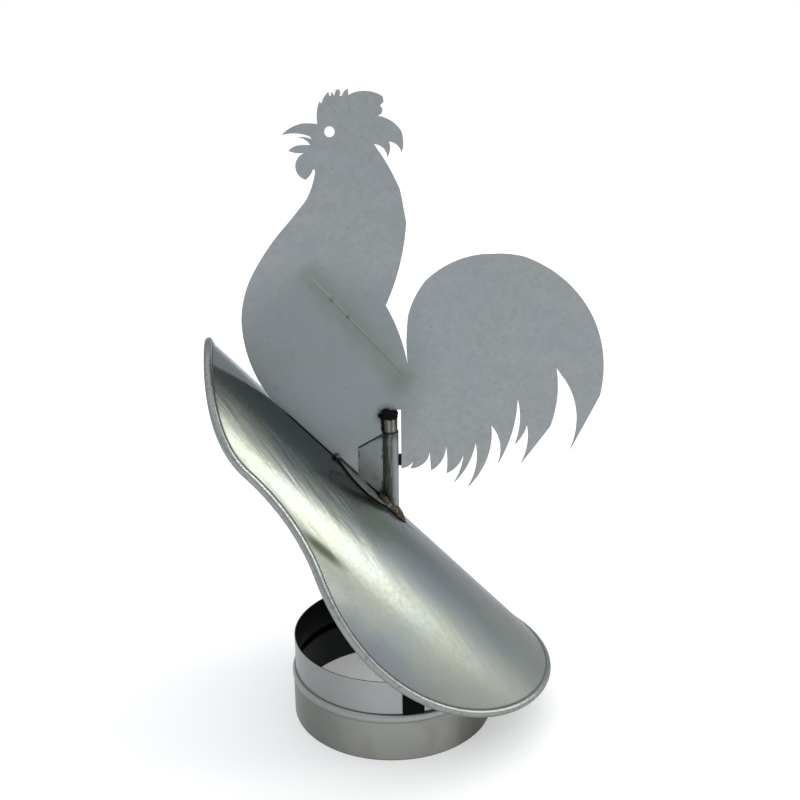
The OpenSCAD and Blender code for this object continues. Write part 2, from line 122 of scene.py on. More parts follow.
class Field:
    """Lays out the nodes of one shader tree."""

    def __init__(self, tree, coordinates):
        self.tree = tree
        self.at = self.node("ShaderNodeTexCoord").outputs[coordinates]

    def node(self, kind, **settings):
        made = self.tree.nodes.new(kind)
        for key, value in settings.items():
            setattr(made, key, value)
        return made

    def feed(self, socket, value):
        if isinstance(value, bpy.types.NodeSocket):
            self.tree.links.new(value, socket)
        elif isinstance(value, tuple) and len(value) == 3 and socket.type == "RGBA":
            socket.default_value = (*value, 1)
        else:
            socket.default_value = value

    def calc(self, kind, a, b=0.0, c=0.0):
        made = self.node("ShaderNodeMath", operation=kind)
        for socket, value in zip(made.inputs, (a, b, c)):
            self.feed(socket, value)
        return made.outputs[0]

    def times(self, first, *others):
        for other in others:
            first = self.calc("MULTIPLY", first, other)
        return first

    def fade(self, value, low, high, to_low=0.0, to_high=1.0):
        """Smooth step of a value from low to high."""
        made = self.node("ShaderNodeMapRange", interpolation_type="SMOOTHSTEP")
        self.feed(made.inputs["Value"], value)
        if low > high:
            low, high, to_low, to_high = high, low, to_high, to_low
        made.inputs["From Min"].default_value = low
        made.inputs["From Max"].default_value = high
        made.inputs["To Min"].default_value = to_low
        made.inputs["To Max"].default_value = to_high
        return made.outputs["Result"]

    def near(self, value, middle, reach):
        """1 where a value is at the middle, 0 from reach away."""
        return self.fade(self.calc("ABSOLUTE", self.calc("SUBTRACT", value, middle)), reach, 0.35 * reach)

    def grain(self, scale, detail=3.0, stretch=(1, 1, 1), turn=0.0, warp=0.0, at=None):
        """Soft uneven field, scale in patches to the metre, turned about Z and squeezed along its axes."""
        space = self.node("ShaderNodeMapping", vector_type="TEXTURE")
        self.feed(space.inputs["Vector"], at or self.at)
        space.inputs["Rotation"].default_value = (0, 0, turn)
        space.inputs["Scale"].default_value = [1 / s for s in stretch]
        made = self.node("ShaderNodeTexNoise")
        self.feed(made.inputs["Vector"], space.outputs["Vector"])
        made.inputs["Scale"].default_value = scale
        made.inputs["Detail"].default_value = detail
        made.inputs["Distortion"].default_value = warp
        return made.outputs[0]

    def crystals(self, scale):
        """Zinc crystals: one flat grey from 0 to 1 for each."""
        made = self.node("ShaderNodeTexVoronoi")
        self.feed(made.inputs["Vector"], self.at)
        made.inputs["Scale"].default_value = scale
        grey = self.node("ShaderNodeSeparateColor")
        self.feed(grey.inputs[0], made.outputs["Color"])
        return grey.outputs[0]

    def blend(self, factor, a, b):
        made = self.node("ShaderNodeMix", data_type="RGBA")
        self.feed(made.inputs["Factor"], factor)
        self.feed(made.inputs[6], a)
        self.feed(made.inputs[7], b)
        return made.outputs[2]

    def between(self, factor, a, b):
        made = self.node("ShaderNodeMix", data_type="FLOAT")
        self.feed(made.inputs["Factor"], factor)
        self.feed(made.inputs[2], a)
        self.feed(made.inputs[3], b)
        return made.outputs[0]

    def parts(self, vector=None):
        made = self.node("ShaderNodeSeparateXYZ")
        self.feed(made.inputs[0], vector or self.at)
        return made.outputs

    def place(self, x, y):
        made = self.node("ShaderNodeCombineXYZ")
        self.feed(made.inputs[0], x)
        self.feed(made.inputs[1], y)
        return made.outputs[0]

    def far_from(self, point, at=None):
        made = self.node("ShaderNodeVectorMath", operation="DISTANCE")
        self.feed(made.inputs[0], at or self.at)
        made.inputs[1].default_value = point
        return made.outputs["Value"]

    def spot(self, point, radius):
        """1 at a point, 0 from radius outwards."""
        return self.fade(self.far_from(point), radius, 0)

    def stripe(self, start, end, width):
        """1 along a line from [x, z] to [x, z] on an upright face, fading over its width."""
        along = Vector(end) - Vector(start)
        space = self.node("ShaderNodeMapping", vector_type="TEXTURE")
        self.feed(space.inputs["Vector"], self.at)
        space.inputs["Location"].default_value = (start[0], 0, start[1])
        space.inputs["Rotation"].default_value = (0, -math.atan2(along.y, along.x), 0)
        space.inputs["Scale"].default_value = (along.length, 1, width)
        x, _, across = self.parts(space.outputs["Vector"])
        band = self.fade(self.calc("ABSOLUTE", across), 1, 0)
        return self.times(band, self.fade(x, -0.06, 0.03), self.fade(x, 1.06, 0.97))

    def mark(self, name):
        """A value kept on the piece's own mesh."""
        return self.node("ShaderNodeAttribute", attribute_name=name).outputs["Fac"]

    def flat_place(self):
        """Place on the sheet as it was before it was bent."""
        return self.node("ShaderNodeAttribute", attribute_name="flat").outputs["Vector"]


class Finish(Field):
    """One finish: a surface shader with the fields that vary it over the piece."""

    def __init__(self, name, colour, roughness, metallic=1.0):
        self.material = bpy.data.materials.new(name)
        self.material.use_nodes = True
        super().__init__(self.material.node_tree, "Object")
        self.surface = self.tree.nodes["Principled BSDF"]
        self.surface.inputs["Metallic"].default_value = metallic
        self.colour = colour
        self.roughness = roughness
        self.height = None

    def stain(self, mask, colour, roughness=None):
        self.colour = self.blend(mask, self.colour, colour)
        if roughness is not None:
            self.roughness = self.between(mask, self.roughness, roughness)

    def raise_by(self, field, amount):
        """Adds a field to the relief, amount in metres between its 0 and its 1."""
        step = self.times(field, amount)
        self.height = step if self.height is None else self.calc("ADD", self.height, step)

    def close(self):
        self.feed(self.surface.inputs["Base Color"], self.colour)
        self.feed(self.surface.inputs["Roughness"], self.roughness)
        if self.height is not None:
            bump = self.node("ShaderNodeBump")
            bump.inputs["Strength"].default_value = 1.0
            bump.inputs["Distance"].default_value = 1.0
            self.feed(bump.inputs["Height"], self.height)
            self.feed(self.surface.inputs["Normal"], bump.outputs["Normal"])
        return self.material


def zinc_body(finish, cool, warm, patch, crystal, change=0.05):
    """What every galvanised sheet here has: cool and warm patches, small crystals and fine speckle."""
    patches = finish.fade(finish.grain(patch, 4, warp=0.6), 0.34, 0.68)
    finish.colour = finish.blend(patches, cool, warm)
    crystals = finish.crystals(crystal)
    finish.stain(finish.times(crystals, 0.32), tuple(0.80 * c for c in cool))
    dust = finish.fade(finish.grain(2600, 2), 0.42, 0.66)
    finish.stain(finish.times(dust, 0.16), tuple(1.35 * c for c in cool))
    finish.roughness = finish.calc("MULTIPLY_ADD", crystals, change, finish.roughness)
    finish.roughness = finish.calc("MULTIPLY_ADD", patches, change, finish.roughness)


def hood_zinc():
    """Bright rolled sheet, glossier at the head: soft strokes, soot at the vane's foot, a speckled roll;
    painted shade under the foot, round the cleats, at the waist and in the roll's groove.
    """
    f = Finish("hood_zinc", (0.24, 0.25, 0.245), 0.11)
    f.surface.inputs["Specular Tint"].default_value = (0.52, 0.53, 0.54, 1)
    zinc_body(f, (0.232, 0.246, 0.262), (0.250, 0.262, 0.232), patch=11, crystal=420, change=0.035)
    flat = f.flat_place()
    s, w, rise = f.parts(flat)
    across = f.calc("ABSOLUTE", w)
    top = f.fade(rise, -0.2 * MM, 0.2 * MM)
    f.roughness = f.calc("ADD", f.roughness, f.fade(s, -80 * MM, 60 * MM, 0, 0.10))
    # Brushed, duller stretch half way down the head's sides
    brushed = f.times(f.near(across, 57 * MM, 25 * MM), f.fade(s, 0, -45 * MM))
    f.roughness = f.calc("MULTIPLY_ADD", brushed, 0.16, f.roughness)
    strokes = f.grain(1.0, 3, stretch=(18, 110, 1), turn=math.radians(18), warp=0.6, at=flat)
    f.raise_by(strokes, 0.13 * MM)
    f.raise_by(f.times(strokes, brushed), 0.30 * MM)
    dents = f.grain(1.0, 2, stretch=(20, 30, 1), at=flat)
    f.raise_by(dents, 0.25 * MM)
    f.raise_by(f.grain(900, 2), 0.011 * MM)
    # Painted shadow: a dark line under the weathercock's foot, from its front corner to the cleats
    reach = f.times(f.fade(s, -0.124, -0.100), f.fade(s, -0.052, -0.060), top)
    f.stain(f.times(f.fade(across, 3.0 * MM, 2.0 * MM), reach), (0.004, 0.004, 0.003), 0.85)
    # Painted shadow: a black outline round the cleats
    cleat = f.far_from((-29 * MM, -11.25 * MM, 0), at=f.place(s, across))
    ring = f.times(f.near(cleat, 30.2 * MM, 2.0 * MM), f.fade(s, -1 * MM, -8 * MM), top)
    uneven = f.fade(f.grain(260, 3), 0.25, 0.42, 0.55, 1)
    f.stain(f.times(ring, uneven), (0.010, 0.009, 0.007), 0.75)
    # Smoke and splashes round the sleeve's weld
    foot = f.far_from((3 * MM, 3 * MM, 0), at=flat)
    smoke = f.times(f.fade(foot, 24 * MM, 8 * MM), f.fade(f.grain(120, 4), 0.38, 0.62))
    f.stain(f.times(smoke, 0.6), (0.07, 0.062, 0.045), 0.5)
    # Painted shade: an olive-brown streak along the near edge at the waist
    waist_shade = f.far_from((-10 * MM, 98 * MM, 0), at=f.place(f.times(s, 0.2), w))
    f.stain(f.times(f.fade(waist_shade, 5.5 * MM, 1 * MM), top, 0.9), (0.045, 0.050, 0.030))
    # The roll: speckled, with a dark line of painted shade where it meets the sheet
    f.stain(f.mark("roll"), (0.255, 0.268, 0.262), 0.28)
    specks = f.times(f.mark("roll"), f.fade(f.grain(420, 3), 0.52, 0.66))
    f.stain(f.times(specks, 0.5), (0.13, 0.135, 0.125), 0.4)
    f.stain(f.times(f.mark("groove"), 0.85), (0.05, 0.052, 0.045), 0.6)
    return f.close()


def vane_zinc():
    """Duller flat sheet with bluish and greenish patches, the brace's heat mark and the burnt notch."""
    f = Finish("vane_zinc", (0.26, 0.28, 0.28), 0.40)
    zinc_body(f, (0.262, 0.281, 0.294), (0.286, 0.300, 0.288), patch=16, crystal=300)
    f.raise_by(f.grain(9, 2), 0.5 * MM)
    f.raise_by(f.grain(1200, 2), 0.008 * MM)
    streaks = f.grain(20, 4, stretch=(1, 1, 3.5))
    f.stain(f.times(f.fade(streaks, 0.5, 0.75), 0.25), (0.320, 0.335, 0.336))
    # Painted shade: the breast is a little darker than head and tail, for the dark hood it mirrors
    breast_shade = f.fade(f.far_from((-0.045, 0, 0.262)), 88 * MM, 50 * MM)
    f.stain(f.times(breast_shade, 0.85), (0.206, 0.228, 0.236))
    # Painted shadow: a black line along the foot, just over the hood
    x, _, _ = f.parts()
    foot = f.times(f.fade(x, -76 * MM, -66 * MM), f.fade(x, -36 * MM, -42 * MM))
    f.stain(f.times(f.fade(over_hood(f), 2.0 * MM, 1.2 * MM), foot), (0.004, 0.004, 0.003), 0.85)
    # Heat mark of the brace on the other face: a soft green haze
    cloudy = f.fade(f.grain(60, 4, warp=0.4), 0.25, 0.70, 0.55, 1)
    haze = f.stripe((-0.056, 0.333), (0.012, 0.250), 16 * MM)
    f.stain(f.times(haze, cloudy, 0.52), (0.140, 0.168, 0.128), 0.46)
    end = f.spot((0.006, 0, 0.252), 15 * MM)
    f.stain(f.times(end, 0.35), (0.14, 0.165, 0.125))
    # Fine line of the weld in it: light at first, then dark, with three brown spots
    light = f.stripe((-0.0524, 0.3294), (-0.0160, 0.2875), 0.7 * MM)
    f.stain(f.times(light, cloudy, 0.45), (0.36, 0.37, 0.32))
    dark = f.stripe((-0.0400, 0.3140), (0.0077, 0.2594), 0.8 * MM)
    f.stain(f.times(dark, cloudy, 0.60), (0.085, 0.105, 0.080))
    spots = (((-0.0533, 0, 0.3229), 1.6), ((-0.0393, 0, 0.3128), 3.2), ((-0.0281, 0, 0.3007), 2.6))
    for place, size in spots:
        spot = f.times(f.spot(place, size * MM), f.fade(f.grain(700, 3), 0.35, 0.55))
        f.stain(f.times(spot, 0.8), (0.085, 0.075, 0.055))
    # Smoke over and beside the burnt notch
    ragged = f.calc("MULTIPLY_ADD", f.grain(260, 4), 5 * MM, f.far_from((-0.0032, 0, 0.2295)))
    f.stain(f.times(f.fade(ragged, 12 * MM, 8 * MM), 0.5), (0.09, 0.09, 0.08))
    f.stain(f.fade(ragged, 8.6 * MM, 6.4 * MM), (0.008, 0.008, 0.007), 0.8)
    pits = f.fade(f.grain(420, 1), 0.735, 0.78)
    f.stain(f.times(pits, 0.45), (0.12, 0.12, 0.11))
    f.stain(f.times(f.mark("rim"), 0.6), (0.105, 0.105, 0.095), 0.5)
    return f.close()


def collar_zinc():
    """Drawn sheet: fine lines round it, grey-brown low down; painted reflection lighter in the middle and
    duller at the ends, painted shade in the bead's grooves and inside.
    """
    f = Finish("collar_zinc", (0.25, 0.26, 0.25), 0.30)
    zinc_body(f, (0.262, 0.275, 0.284), (0.250, 0.256, 0.246), patch=24, crystal=380, change=0.04)
    x, _, z = f.parts()
    # Painted reflection: lighter across the middle of the front
    middle = f.near(x, 2 * MM, 58 * MM)
    f.stain(f.times(middle, 0.7), (0.335, 0.348, 0.352))
    low = f.fade(z, 31.5 * MM, 29.5 * MM)
    f.stain(f.times(low, 0.85), (0.215, 0.218, 0.200), 0.38)
    # Painted reflection, lighter in the middle low down as well
    f.stain(f.times(low, middle, 0.8), (0.305, 0.308, 0.285))
    blots = f.fade(f.grain(38, 5, stretch=(1, 1, 0.6), warp=0.8), 0.5, 0.72)
    f.stain(f.times(blots, low, 0.25), (0.150, 0.150, 0.132), 0.45)
    # Painted reflection: duller towards the tail side and at the far left
    f.stain(f.times(f.fade(x, 22 * MM, 60 * MM), low, 0.92), (0.070, 0.073, 0.066))
    f.stain(f.times(f.fade(x, -40 * MM, -74 * MM), low, 0.65), (0.115, 0.120, 0.108))
    swell = f.near(z, SPIGOT_H + BEAD_H / 2, 3.4 * MM)
    f.stain(f.times(swell, 0.35), (0.265, 0.268, 0.240), 0.36)
    lines = f.grain(40, 3, stretch=(1, 1, 28))
    f.raise_by(lines, 0.012 * MM)
    f.raise_by(f.grain(26, 2), 0.16 * MM)
    f.stain(f.times(f.fade(lines, 0.52, 0.78), 0.22), (0.32, 0.33, 0.32))
    # Painted shade in the grooves at the bead's edges
    f.stain(f.times(f.mark("groove"), 0.6), (0.085, 0.082, 0.066), 0.6)
    # Painted shade inside the wall, darker higher up under the hood and black behind the bead
    inside = f.mark("inside")
    f.stain(inside, (0.022, 0.027, 0.024), 0.42)
    f.stain(f.times(inside, f.fade(z, 36 * MM, 42 * MM), 0.7), (0.008, 0.011, 0.009), 0.5)
    behind_bead = f.near(z, SPIGOT_H + BEAD_H / 2, 5.5 * MM)
    f.stain(f.times(inside, behind_bead), (0.001, 0.001, 0.001), 0.9)
    edge = f.fade(z, 1.2 * MM, 0.3 * MM)
    f.stain(f.times(edge, 0.6), (0.11, 0.105, 0.09))
    return f.close()


def over_hood(f):
    """Height straight over the crest line."""
    x, _, z = f.parts()
    return f.calc("SUBTRACT", f.calc("MULTIPLY_ADD", x, math.tan(TILT), z), CREST_Z)


def sleeve_zinc():
    """Folded strip: leaves grey as the plate, an olive-dark band of painted shade down the pipe beside a
    painted highlight, burnt lines at its edges, painted shadow at the leaf's front foot.
    """
    f = Finish("sleeve_zinc", (0.25, 0.26, 0.25), 0.38)
    zinc_body(f, (0.205, 0.222, 0.226), (0.222, 0.236, 0.228), patch=40, crystal=420)
    x, _, z = f.parts()
    rise = over_hood(f)
    worn = f.fade(f.grain(70, 4, stretch=(1, 1, 0.5), warp=0.5), 0.45, 0.70)
    f.stain(f.times(worn, 0.30), (0.145, 0.152, 0.140))
    # Painted shade: an olive-dark band down the pipe's shaded side, with streaks along it; then a painted
    # highlight on its lit side
    run = f.fade(f.grain(90, 4, stretch=(7, 7, 1)), 0.34, 0.60, 0.40, 1)
    band = f.times(f.fade(x, -5.6 * MM, -4.4 * MM), f.fade(x, 2.2 * MM, -0.4 * MM))
    f.stain(f.times(band, run, 0.92), (0.070, 0.080, 0.056), 0.45)
    f.stain(f.times(f.fade(x, 1.5 * MM, 4 * MM), 0.45), (0.27, 0.285, 0.285))
    # Dotted line at the fold and down the leaf's front edge
    dots = f.fade(f.grain(420, 3, stretch=(1, 1, 0.6)), 0.50, 0.60)
    fold = f.times(f.near(x, -6.4 * MM, 0.8 * MM), dots)
    f.stain(f.times(fold, 0.85), (0.03, 0.028, 0.022), 0.6)
    front = f.times(f.near(x, 0.4 * MM - LEAF_REACH, 0.9 * MM), dots)
    f.stain(f.times(front, 0.7), (0.06, 0.06, 0.05), 0.6)
    # Black line along the slanted top, heavier in its middle, and a thin one at the pipe's top
    top = f.stripe((-LEAF_REACH, LEAF_FRONT_TOP), (-WRAP_R, LEAF_BACK_TOP), 1.5 * MM)
    f.stain(f.times(top, f.fade(f.grain(150, 3), 0.22, 0.40)), (0.006, 0.006, 0.005), 0.8)
    f.stain(f.times(f.near(z, WRAP_TOP - 0.4 * MM, 1 * MM), 0.8), (0.02, 0.018, 0.015), 0.7)
    # Soot coming down from the burnt top, and dark brown scorching over the foot's weld
    soot = f.fade(f.grain(190, 4, stretch=(2, 2, 0.6)), 0.42, 0.58)
    f.stain(f.times(soot, f.fade(z, WRAP_TOP - 9 * MM, WRAP_TOP), 0.75), (0.03, 0.028, 0.022), 0.6)
    scorched = f.times(f.fade(rise, 22 * MM, 7 * MM), f.fade(f.grain(130, 4, warp=0.5), 0.44, 0.62))
    f.stain(f.times(scorched, f.fade(x, -16 * MM, -8 * MM), 0.8), (0.050, 0.040, 0.028), 0.6)
    # Painted shadow, black, where the leaf's front foot stands over the hood
    gap_shadow = f.times(f.fade(rise, 4.6 * MM, 3.4 * MM), f.fade(x, -19 * MM, -16 * MM))
    f.stain(gap_shadow, (0.003, 0.003, 0.003), 0.9)
    f.raise_by(f.grain(300, 3), 0.02 * MM)
    return f.close()


def tube_steel():
    """Upper pipe: a painted highlight on the head side, dark streaks down the middle, darker towards the
    tail side, burnt black at its top.
    """
    f = Finish("tube_steel", (0.235, 0.24, 0.225), 0.34)
    x, _, z = f.parts()
    # Painted highlight down the head side
    light = f.times(f.near(x, -3 * MM, 2.6 * MM), f.fade(f.grain(150, 3), 0.36, 0.52))
    f.stain(f.times(light, 0.8), (0.40, 0.40, 0.35), 0.36)
    streaks = f.fade(f.grain(70, 4, stretch=(6, 6, 1)), 0.42, 0.56)
    f.stain(f.times(streaks, f.fade(x, -2.5 * MM, 0.5 * MM), 0.85), (0.065, 0.058, 0.042), 0.5)
    f.stain(f.times(f.fade(x, 1 * MM, 3.5 * MM), 0.75), (0.060, 0.055, 0.042), 0.5)
    ragged = f.calc("MULTIPLY_ADD", f.grain(300, 3), 3 * MM, z)
    f.stain(f.fade(ragged, SLEEVE_TOP - 0.5 * MM, SLEEVE_TOP + 1.3 * MM), (0.006, 0.006, 0.005), 0.8)
    f.raise_by(f.grain(500, 3), 0.03 * MM)
    return f.close()


def cleat_zinc():
    """Small strips on the hood: light grey, brown splashes towards the sleeve, painted shade in black on the
    cut edge.
    """
    f = Finish("cleat_zinc", (0.34, 0.35, 0.34), 0.42)
    zinc_body(f, (0.335, 0.348, 0.342), (0.39, 0.40, 0.38), patch=50, crystal=420)
    x, _, _ = f.parts()
    splashes = f.times(f.fade(f.grain(150, 4), 0.52, 0.66), f.fade(x, -32 * MM, -10 * MM, 0.25, 1))
    f.stain(f.times(splashes, 0.75), (0.105, 0.098, 0.075), 0.5)
    # Painted shade: the cut edges black
    f.stain(f.times(f.mark("rim"), 0.9), (0.012, 0.011, 0.009), 0.7)
    f.raise_by(f.grain(260, 3), 0.05 * MM)
    return f.close()


def brace_zinc():
    """Stiffening strip on the far face: grey, browned beside its welds."""
    f = Finish("brace_zinc", (0.25, 0.26, 0.26), 0.38)
    zinc_body(f, (0.215, 0.229, 0.235), (0.230, 0.236, 0.224), patch=40, crystal=380)
    blots = f.fade(f.grain(60, 4, warp=0.6), 0.50, 0.68)
    f.stain(f.times(blots, 0.6), (0.11, 0.10, 0.075), 0.5)
    f.stain(f.times(f.mark("rim"), 0.5), (0.10, 0.10, 0.09), 0.5)
    f.raise_by(f.grain(400, 3), 0.02 * MM)
    return f.close()


def rod_steel():
    """Zinc-plated steel of the rod, nuts, washers and rivets: faintly yellow, greyer in patches."""
    f = Finish("rod_steel", (0.32, 0.32, 0.29), 0.30)
    patches = f.fade(f.grain(90, 4), 0.38, 0.64)
    f.stain(f.times(patches, 0.6), (0.21, 0.205, 0.178), 0.42)
    f.stain(f.times(f.fade(f.grain(420, 2), 0.62, 0.70), 0.5), (0.13, 0.10, 0.07), 0.6)
    f.stain(f.times(f.mark("rim"), 0.5), (0.44, 0.44, 0.42))
    f.raise_by(f.grain(700, 2), 0.012 * MM)
    return f.close()


def bar_black():
    """Matt black paint on the flat bar, darkened to near pure black as painted shade under the hood, grey
    where the edges have rubbed.
    """
    f = Finish("bar_black", (0.0012, 0.0015, 0.0015), 0.75, metallic=0.0)
    f.surface.inputs["Specular IOR Level"].default_value = 0.06
    f.stain(f.fade(f.grain(60, 4), 0.5, 0.72, 0, 0.5), (0.004, 0.004, 0.004), 0.65)
    rubbed = f.times(f.mark("rim"), f.fade(f.grain(180, 4), 0.56, 0.68))
    f.stain(f.times(rubbed, 0.5), (0.05, 0.05, 0.048), 0.5)
    f.raise_by(f.grain(600, 3), 0.02 * MM)
    return f.close()


def weld_steel():
    """Weld metal: brown-black with speckled bright streaks."""
    f = Finish("weld_steel", (0.125, 0.115, 0.096), 0.42)
    brown = f.fade(f.grain(190, 5, warp=0.6), 0.32, 0.52)
    f.stain(f.times(brown, 0.88), (0.032, 0.025, 0.017), 0.6)
    bright = f.fade(f.grain(800, 3), 0.60, 0.70)
    f.stain(f.times(bright, 0.6), (0.40, 0.385, 0.34), 0.32)
    f.raise_by(f.grain(520, 4), 0.22 * MM)
    return f.close()


def burnt_steel():
    """Burnt weld and slag: dull black with a few brown grains."""
    f = Finish("burnt_steel", (0.003, 0.003, 0.0028), 0.8, metallic=0.0)
    f.surface.inputs["Specular IOR Level"].default_value = 0.1
    f.stain(f.fade(f.grain(400, 4), 0.62, 0.76, 0, 0.5), (0.022, 0.019, 0.015), 0.6)
    f.raise_by(f.grain(420, 4), 0.35 * MM)
    return f.close()


# Mesh helpers

def new_mesh():
    return bmesh.new()


def mark_layer(bm, name):
    return bm.verts.layers.float.get(name) or bm.verts.layers.float.new(name)


def mark_rim(bm, faces):
    """Marks whole faces, so that the mark ends sharply at their edges."""
    rim = bm.loops.layers.float.get("rim") or bm.loops.layers.float.new("rim")
    for face in faces:
        for corner in face.loops:
            corner[rim] = 1.0


def wire(bm, points, closed):
    """A few vertices joined in a row, ready to be spun."""
    verts = [bm.verts.new(p) for p in points]
    edges = [bm.edges.new(pair) for pair in zip(verts, verts[1:])]
    if closed:
        edges.append(bm.edges.new((verts[-1], verts[0])))
    return verts + edges


def turned(points, steps, closed=True, sweep=2 * math.pi):
    """A section given as (radius, height), spun round the Z axis."""
    bm = new_mesh()
    section = wire(bm, [(r, 0, z) for r, z in points], closed)
    full = sweep > 6.28
    bmesh.ops.spin(bm, geom=section, cent=(0, 0, 0), axis=(0, 0, 1), angle=sweep,
                   steps=steps, use_merge=full)
    if closed and not full:
        bmesh.ops.holes_fill(bm, edges=[e for e in bm.edges if e.is_boundary], sides=0)
    bmesh.ops.remove_doubles(bm, verts=bm.verts[:], dist=1e-7)
    bmesh.ops.recalc_face_normals(bm, faces=bm.faces[:])
    return bm


def packed_copy(node):
    """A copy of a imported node's mesh with its loose triangles joined into flat faces again."""
    bm = new_mesh()
    bm.from_mesh(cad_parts[node].data)
    bmesh.ops.remove_doubles(bm, verts=bm.verts[:], dist=2e-6)
    bmesh.ops.dissolve_limit(bm, angle_limit=math.radians(0.6), verts=bm.verts[:], edges=bm.edges[:])
    return bm


def eased(bm, width, segments=2, angle=38):
    """Rounds the sharp edges and marks them as the rim."""
    sharp = [e for e in bm.edges if len(e.link_faces) == 2 and e.calc_face_angle(0) > math.radians(angle)]
    made = bmesh.ops.bevel(bm, geom=sharp, offset=width, offset_type="OFFSET", affect="EDGES",
                           segments=segments, profile=0.5, material=-1, clamp_overlap=True)
    mark_rim(bm, made["faces"])
    return bm


def join(bm, other):
    """Adds another mesh to this one."""
    spare = bpy.data.meshes.new("spare")
    other.to_mesh(spare)
    other.free()
    bm.from_mesh(spare)
    bpy.data.meshes.remove(spare)


def put(name, bm, body, material, replaces, smooth=35):
    """Makes the piece, and hangs it on its body."""
    mesh = bpy.data.meshes.new(name)
    bm.to_mesh(mesh)
    bm.free()
    mesh.materials.append(material)
    for face in mesh.polygons:
        face.use_smooth = True
    mesh.set_sharp_from_angle(angle=math.radians(smooth))
    piece = bpy.data.objects.new(name, mesh)
    bpy.context.scene.collection.objects.link(piece)
    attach(piece, body)
    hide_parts(replaces)


# Collar, bar and rod

def collar_section(inside_by, outside_by):
    """Section of the collar's wall, its two faces moved in by the given depths."""
    steps = 16
    side = [(COLLAR_R, 0), (COLLAR_R, SPIGOT_H - 0.8 * MM)]
    for i in range(steps + 1):
        a = math.radians(-90 + 180 * i / steps)
        side.append((COLLAR_R - (COLLAR_R - NECK_R) * i / steps + BEAD_OUT * math.cos(a),
                     SPIGOT_H + BEAD_H / 2 + BEAD_H / 2 * math.sin(a)))
    side += [(NECK_R, SPIGOT_H + BEAD_H + 0.8 * MM), (NECK_R, RIM_Z)]
    outer = [(r - outside_by, z) for r, z in side]
    inner = [(r - inside_by, z) for r, z in reversed(side)]
    return outer + inner


def collar():
    bm = turned(collar_section(COLLAR_T, 0), 192)
    lap = turned(collar_section(2 * COLLAR_T, 0.6 * COLLAR_T), 12, sweep=SEAM_SWEEP)
    bmesh.ops.rotate(lap, verts=lap.verts[:], cent=(0, 0, 0), matrix=Matrix.Rotation(SEAM_ANGLE, 3, "Z"))
    join(bm, lap)
    # Marks for painted shade: the inside of the wall and the grooves at the bead's edges
    inside = mark_layer(bm, "inside")
    groove = mark_layer(bm, "groove")
    for v in bm.verts:
        r = math.hypot(v.co.x, v.co.y)
        over_spigot = min(max((v.co.z - SPIGOT_H) / BEAD_H, 0), 1)
        bulge = BEAD_OUT * math.sqrt(max(0, 1 - (2 * over_spigot - 1) ** 2))
        wall = COLLAR_R - (COLLAR_R - NECK_R) * over_spigot + bulge
        v[inside] = 1.0 if r < wall - 0.5 * COLLAR_T else 0.0
        at_bead = min(abs(v.co.z - SPIGOT_H), abs(v.co.z - SPIGOT_H - BEAD_H))
        v[groove] = 1.0 if at_bead < 0.3 * MM else 0.0
    put("collar_wall", bm, "base", collar_zinc(), "collar")


def bar_rivets(steel):
    """A round-headed rivet through bar and wall at each end of the bar."""
    inside = -COLLAR_T - 0.2 * MM
    outside = BAR_T + 0.1 * MM
    steps = 7
    turns = [math.pi / 2 * i / steps for i in range(steps + 1)]
    dome = [(RIVET_R * math.cos(a), RIVET_H * math.sin(a)) for a in turns]
    section = [(r, inside - h) for r, h in reversed(dome)] + [(SHANK_R, inside), (SHANK_R, outside)]
    section += [(r, outside + h) for r, h in dome]
    bm = new_mesh()
    for end in (0, math.pi):
        rivet = turned(section, 28, closed=False)
        place = Matrix.Rotation(BAR_ANGLE + end, 4, "Z") @ Matrix.Translation((NECK_R, 0, RIVET_Z))
        lying = place @ Matrix.Rotation(math.pi / 2, 4, "Y")
        bmesh.ops.transform(rivet, matrix=lying, verts=rivet.verts[:])
        join(bm, rivet)
    put("rivet_heads", bm, "base", steel, "bar_rivets", smooth=50)


def pivot_rod(steel):
    """Rod with a rolled thread where the nuts sit, and a pointed top."""
    low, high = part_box("pivot_rod")
    root = ROD_R - THREAD_DEPTH
    points = [(0, low.z), (ROD_R - 0.8 * MM, low.z)]
    z = low.z + 0.8 * MM
    while z < NUT_TOP + 7 * MM:
        points += [(ROD_R, z), (ROD_R, z + 0.2 * THREAD_PITCH)]
        points += [(root, z + 0.55 * THREAD_PITCH), (root, z + 0.65 * THREAD_PITCH)]
        z += THREAD_PITCH
    points += [(ROD_R, z), (ROD_R, high.z - 4 * MM), (0.6 * MM, high.z - 0.1 * MM), (0, high.z)]
    rod = turned(points, 56, closed=False)
    put("upright_rod", rod, "base", steel, "pivot_rod", smooth=30)


def base_pieces():
    steel = rod_steel()
    collar()
    bar = eased(packed_copy("cross_bar"), 0.45 * MM, 3)
    put("flat_bar", bar, "base", bar_black(), "cross_bar")
    bar_rivets(steel)
    pivot_rod(steel)
    nuts = eased(packed_copy("rod_nuts"), 0.5 * MM, 3)
    put("hex_nuts", nuts, "base", steel, "rod_nuts")
    washers = eased(packed_copy("rod_washers"), 0.25 * MM, 2)
    put("flat_washers", washers, "base", steel, "rod_washers")


# Hood

def spun_on(bm, vert, centre, angle, steps):
    """Carries the wire on from one vertex along an arc, and gives back the arc's last vertex."""
    made = bmesh.ops.spin(bm, geom=[vert], cent=centre, axis=(0, 0, 1), angle=angle, steps=steps)
    return [g for g in made["geom_last"] if isinstance(g, bmesh.types.BMVert)][0]


